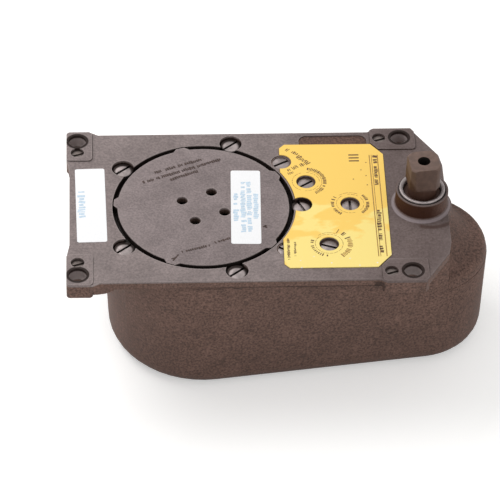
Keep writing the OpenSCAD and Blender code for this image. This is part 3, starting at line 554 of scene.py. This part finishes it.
# a printed scale ring round each valve, rows beside them, and a ruled strip at the end
plate_chance = random.Random(5)
latching, closing, backcheck = (40.7, 20.8), (67.2, 0.0), (52.2, -36.2)
dark_marks = []
fine_marks = []
for centre in (latching, closing, backcheck):
    fine_marks += arc(centre, 8.5, 0, 360, 0.3, plate_chance, lengths=(1.0, 3.0), gap=0.6)
fine_marks += arc(latching, 10.0, -55, 75, 0.35, plate_chance, lengths=(1.5, 4.0))
dark_marks += arc(latching, 11.9, -62, 84, 2.4, plate_chance)
fine_marks += arc(closing, 9.9, 60, 122, 0.3, plate_chance, lengths=(2.0, 4.0))
dark_marks += arc(closing, 11.0, -50, 42, 2.2, plate_chance)
dark_marks += arc(closing, 11.0, 146, 236, 2.2, plate_chance)
fine_marks += arc(backcheck, 9.9, 58, 125, 0.3, plate_chance, lengths=(2.0, 4.0))
dark_marks += arc(backcheck, 12.6, 22, 64, 3.8, plate_chance)
fine_marks += arc(backcheck, 13.0, -60, 18, 3.2, plate_chance)
dark_marks += arc(backcheck, 10.6, 152, 262, 2.0, plate_chance, gap=0.8)
dark_marks += row((29.6, 51.2), (37.0, 46.4), 3.0, plate_chance, lengths=(0.4, 0.9))
dark_marks += row((36.7, 44.9), (43.4, 37.0), 3.6, plate_chance, lengths=(0.4, 0.9))
dark_marks += row((29.6, 31.4), (40.6, 37.4), 3.0, plate_chance, lengths=(0.4, 0.9))
dark_marks += row((29.9, 28.2), (33.0, 29.6), 2.2, plate_chance, lengths=(0.4, 0.9))
dark_marks += row((27.2, -31.1), (26.8, -49.5), 1.7, plate_chance, lengths=(0.4, 1.1), gap=0.35)
dark_marks += row((31.3, -34.3), (30.8, -46.5), 1.4, plate_chance, lengths=(0.4, 1.0), gap=0.4)
dark_marks += [(72.0, y, 6.4, 1.1, 0) for y in (45.2, 42.4, 39.6)]
dark_marks += row((85.3, 44.5), (84.9, 17.1), 2.7, plate_chance, lengths=(0.5, 2.2), gap=0.4)
dark_marks += row((84.6, -6.2), (84.0, -47.6), 2.7, plate_chance, lengths=(0.5, 2.2), gap=0.6)
dots = ((75.9, 31.0), (70.6, 22.5), (78.8, 25.6), (79.0, 17.0), (78.6, -3.0), (79.4, 38.0))
fine_marks += [(x, y, 0.9, 0.8, 20) for x, y in dots]
strip_length = 93
strips = ((81.9, 0.6), (83.2, 0.4), (87.0, 0.6))
fine_marks += [(x, -1.5, width, strip_length, 0) for x, width in strips]
ink_faces = (-0.5, -0.36)
plate_print = raised_marks("plate_print", dark_marks, *ink_faces)
dress(plate_print, worn_film("brown screen ink", "5f4120", 0.7, 1.5, 0.5))
plate_lines = raised_marks("plate_lines", fine_marks, *ink_faces)
dress(plate_lines, worn_film("thin brown screen ink", "a1793a", 0.8, 1.3, 0.5))
for piece in (plate_print, plate_lines):
    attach(piece, "closer_case")


# ---- Paper labels ----
# Two gummed paper labels, one on the flange's end and one on the cap, printed in
# pale blue. Paper fibres leave the white slightly uneven and quite matt.

paper = new_material("gummed white paper")
fibres = add(paper, "Mapping", {
    "Vector": (add(paper, "TexCoord"), "Object"), "Scale": (1.0, 0.3, 1.0)})
fibre = add(paper, "TexNoise", {"Vector": (fibres, 0), "Scale": 1 / (0.6 * MM), "Detail": 4.0})
white = add(paper, "MapRange", {
    "Value": (fibre, "Fac"), "From Min": 0.3, "From Max": 0.7, "To Min": 0.95, "To Max": 1.0})
sheet = add(paper, "Mix", {
    0: 1.0, 6: linear("fbfbfc"), 7: (white, "Result")}, data_type="RGBA", blend_type="MULTIPLY")
paper_bump = add(paper, "Bump", {
    "Height": (fibre, "Fac"), "Strength": 0.25, "Distance": 0.02 * MM})
paper_shader = add(paper, "BsdfPrincipled", {
    "Base Color": (sheet, 2), "Roughness": 0.85, "Normal": (paper_bump, 0),
    "Specular IOR Level": 0.3})
add(paper, "OutputMaterial", {"Surface": (paper_shader, 0)})
dress(nodes["end_label"], paper)
dress(nodes["cap_label"], paper)

label_chance = random.Random(3)
label_ink_faces = (-0.75, -0.66)
blue_ink = worn_film("pale blue ink", "c9dceb", 0.88, 1.08, 0.7)
end_marks = row((-99.5, 14.6), (-99.4, -9.9), 4.4, label_chance, lengths=(0.8, 2.2), gap=0.7)
end_print = raised_marks("end_label_print", end_marks, *label_ink_faces)
cap_print_marks = []
for x, top, foot in ((-3.6, 11, -14), (1.0, 21.5, -24.3), (4.9, 21.5, -24.3), (8.9, 10.4, -13.5)):
    cap_print_marks += row((x, top), (x - 0.7, foot), 3.2, label_chance,
                           lengths=(0.7, 2.0), gap=0.3)
cap_print = raised_marks("cap_label_print", cap_print_marks, *label_ink_faces)
for piece, body in ((end_print, "closer_case"), (cap_print, "adjusting_cap")):
    dress(piece, blue_ink)
    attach(piece, body)


# ---- Spindle and seal retainer ----
# The spindle is turned steel with a tapered square milled on its top for the door
# arm. Oil and primer have browned it. The screwed ring that keeps the seal is bare.

spindle_steel = dull_steel("browned turned steel", "745f56", "1a0f0b",
                           roughness=0.62, stroke_mm=0.5, metallic=0.0)
spindle_spot = add(spindle_steel, "SeparateXYZ", {
    "Vector": (add(spindle_steel, "TexCoord"), "Object")})
# painted shade: the turned neck under the square is painted dark, rising higher up the left of the
# square
shade_rise = add(spindle_steel, "MapRange", {
    "Value": (spindle_spot, "X"), "From Min": 108 * MM, "From Max": 101 * MM,
    "To Min": 0.0, "To Max": 11 * MM})
above = add(spindle_steel, "Math", {0: (spindle_spot, "Z"), 1: (shade_rise, "Result")},
            operation="SUBTRACT")
neck_shade = add(spindle_steel, "MapRange", {
    "Value": (above, 0), "From Min": 15.5 * MM, "From Max": 19 * MM,
    "To Min": 1.0, "To Max": 0.0})
colour = stain(spindle_steel, colour_of(spindle_steel), "3a2015", 0.9, (neck_shade, "Result"))
# painted shade: the spindle's upright faces are painted darker than its top
uprightness = add(spindle_steel, "SeparateXYZ", {
    "Vector": (add(spindle_steel, "NewGeometry"), "Normal")})
shaded_walls = add(spindle_steel, "MapRange", {
    "Value": (uprightness, "Z"), "From Min": 0.3, "From Max": 0.8,
    "To Min": 1.0, "To Max": 0.0})
colour = stain(spindle_steel, colour, "452d22", 0.45, (shaded_walls, "Result"))
# painted shade: the tapped hole down its middle is painted black
colour = stain(spindle_steel, colour, "0d0603", 1.0,
               between(spindle_steel, round_axis(spindle_steel, spindle_x_mm, 0), -1, 4.3, 0.1),
               between(spindle_steel, (spindle_spot, "Z"), 5, 33.9, 0.1))
recolour(spindle_steel, colour)
spindle_shader = spindle_steel.node_tree.nodes["Principled BSDF"]
spindle_shader.inputs["Specular IOR Level"].default_value = 0.3
dress(nodes["spindle"], spindle_steel)
soften(nodes["spindle"], 0.6, segments=3)
retainer_steel = dull_steel("dull turned steel", "b3a8a7", "1a110d",
                            roughness=0.45, stroke_mm=0.3, metallic=0.3)
dress(nodes["seal_retainer"], retainer_steel)
soften(nodes["seal_retainer"], 0.25)


# ---- Spring, cranks and link ----
# Oil-tempered spring wire, forged and oiled cranks and carrier, ground pins and
# piston: all of it runs in oil and is dark and wet-looking.

oiled_wire = dull_steel("oil-tempered spring wire", "4a4644", "120d0b",
                        roughness=0.32, stroke_mm=0.4)

# the coil winds up as the carrier turns, and its top goes round with the cap. It is cut
# into two halves at mid height, named for the carrier and for the cap
coil_ends = {"carrier": -63.9, "adjusting_cap": -20.05}
coil_middle = Vector((0, 0, sum(coil_ends.values()) / 2 * MM))
for body, coil_end in coil_ends.items():
    shape = bmesh.new()
    shape.from_mesh(nodes["torsion_spring"].data)
    bmesh.ops.remove_doubles(shape, verts=shape.verts, dist=1e-6)
    kept_side = Vector((0, 0, coil_end * MM)) - coil_middle
    bmesh.ops.bisect_plane(
        shape, geom=shape.verts[:] + shape.edges[:] + shape.faces[:],
        plane_co=coil_middle, plane_no=kept_side, clear_inner=True)
    bmesh.ops.holes_fill(shape, edges=[edge for edge in shape.edges if edge.is_boundary])
    mesh = bpy.data.meshes.new("spring_half")
    shape.to_mesh(mesh)
    shape.free()
    half = bpy.data.objects.new("spring_half_" + body, mesh)
    bpy.context.scene.collection.objects.link(half)
    dress(half, oiled_wire)
    for face in mesh.polygons:
        face.use_smooth = True
    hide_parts("torsion_spring")
    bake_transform(half)

forged = dull_steel("forged oiled steel", "6d6763", "17110e", roughness=0.45, stroke_mm=1.2)
for name in ("spring_carrier", "link", "spindle_crank"):
    dress(nodes[name], forged)
    soften(nodes[name], 0.5)
ground = dull_steel("ground steel", "c9c6c3", "2a211c", roughness=0.22, stroke_mm=0.1)
for name in ("spring_shaft", "piston", "check_ball", "ball_stop", "thrust_disc", "crank_key",
             "carrier_pin", "crank_pin", "carrier_pin_clip", "crank_pin_clip", "carrier_ring",
             "crank_ring"):
    dress(nodes[name], ground)


# ---- Bushes, seals and gasket ----
# The bushes and the piston's ring are sintered bronze, soaked with oil. The seals and
# the cap's gasket are moulded in black nitrile rubber.

bronze = dull_steel("sintered bronze", "b98c4e", "2c1c0c", roughness=0.4, stroke_mm=0.3)
for name in ("carrier_bush", "lower_bush", "upper_bush", "piston_ring"):
    dress(nodes[name], bronze)
nitrile = new_material("moulded black nitrile")
bloom = add(nitrile, "TexNoise", {
    "Vector": (add(nitrile, "TexCoord"), "Object"), "Scale": 1 / (1.5 * MM)})
nitrile_colour = add(nitrile, "Mix", {
    0: (bloom, "Fac"), 6: linear("141414"), 7: linear("242322")}, data_type="RGBA")
nitrile_bump = add(nitrile, "Bump", {
    "Height": (bloom, "Fac"), "Strength": 0.2, "Distance": 0.03 * MM})
nitrile_shader = add(nitrile, "BsdfPrincipled", {
    "Base Color": (nitrile_colour, 2), "Roughness": 0.55, "Normal": (nitrile_bump, 0),
    "IOR": 1.52})
add(nitrile, "OutputMaterial", {"Surface": (nitrile_shader, 0)})
for name in ("cap_gasket", "shaft_seal", "plug_seal", "valve_seals"):
    dress(nodes[name], nitrile)


# ---- Floor, lamps and camera ----
# A plain pale floor with the closer stood on its flat bottom, a large soft lamp
# behind and over its left end and a weaker one low in front.

def place_facing(thing, azimuth, elevation, distance, aim, roll=0.0):
    """Puts a camera or lamp at a distance from aim, turned to face it. Angles in degrees."""
    turn = (Matrix.Rotation(math.radians(azimuth), 4, "Z")
            @ Matrix.Rotation(math.radians(90 - elevation), 4, "X")
            @ Matrix.Rotation(math.radians(roll), 4, "Z"))
    thing.matrix_world = Matrix.Translation(aim + turn.to_3x3() @ Vector((0, 0, distance))) @ turn


lens = bpy.data.cameras.new("camera")
lens.lens = 241.6
lens.sensor_width = 36
camera = bpy.data.objects.new("camera", lens)
bpy.context.scene.collection.objects.link(camera)
place_facing(camera, azimuth=-3.193, elevation=43.345, distance=2.081,
             aim=Vector((0.0045, -0.0203, -0.0198)), roll=1.407)
bpy.context.scene.camera = camera


def lamp(name, power, size, azimuth, elevation, distance):
    """A square soft lamp aimed at the middle of the closer."""
    light = bpy.data.lights.new(name, "AREA")
    light.energy = power
    light.size = size
    made = bpy.data.objects.new(name, light)
    bpy.context.scene.collection.objects.link(made)
    place_facing(made, azimuth, elevation, distance, Vector((-0.03, 0, 0)))


lamp("behind the left end", power=5.2, size=0.6, azimuth=-122, elevation=56, distance=0.95)
lamp("low in front", power=3.9, size=1.4, azimuth=26, elevation=28, distance=1.8)

case_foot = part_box("case")[0][2]
bpy.ops.mesh.primitive_grid_add(
    x_subdivisions=2, y_subdivisions=2, size=3.0, location=(0, 0, case_foot - 0.05 * MM))
floor = bpy.context.object
floor.name = "floor"
pale = new_material("pale matt floor")
floor_shader = add(pale, "BsdfPrincipled", {
    "Base Color": linear("f4f3f1"), "Roughness": 0.9, "Specular IOR Level": 0.1})
floor_path = add(pale, "LightPath")
looked_at = add(pale, "Math", {
    0: (floor_path, "Is Camera Ray"), 1: (floor_path, "Is Glossy Ray")}, operation="MAXIMUM")
lift = add(pale, "Math", {0: (looked_at, 0), 1: 0.38}, operation="MULTIPLY")
paper_white = add(pale, "Emission", {"Color": linear("ffffff"), "Strength": (lift, 0)})
both = add(pale, "AddShader", {0: (floor_shader, 0), 1: (paper_white, 0)})
add(pale, "OutputMaterial", {"Surface": (both, 0)})
dress(floor, pale)

world = bpy.data.worlds.new("pale room")
world.use_nodes = True
# the room lights the closer softly, and shows as the same pale ground as the floor
room_path = add(world, "LightPath")
seen = add(world, "Math", {
    0: (room_path, "Is Camera Ray"), 1: (room_path, "Is Glossy Ray")}, operation="MAXIMUM")
room = add(world, "MapRange", {"Value": (seen, 0), "To Min": 0.56, "To Max": 1.0})
background = world.node_tree.nodes["Background"]
background.inputs["Color"].default_value = linear("ffffff")
world.node_tree.links.new(room.outputs["Result"], background.inputs["Strength"])
bpy.context.scene.world = world
bpy.context.scene.view_settings.view_transform = "Standard"
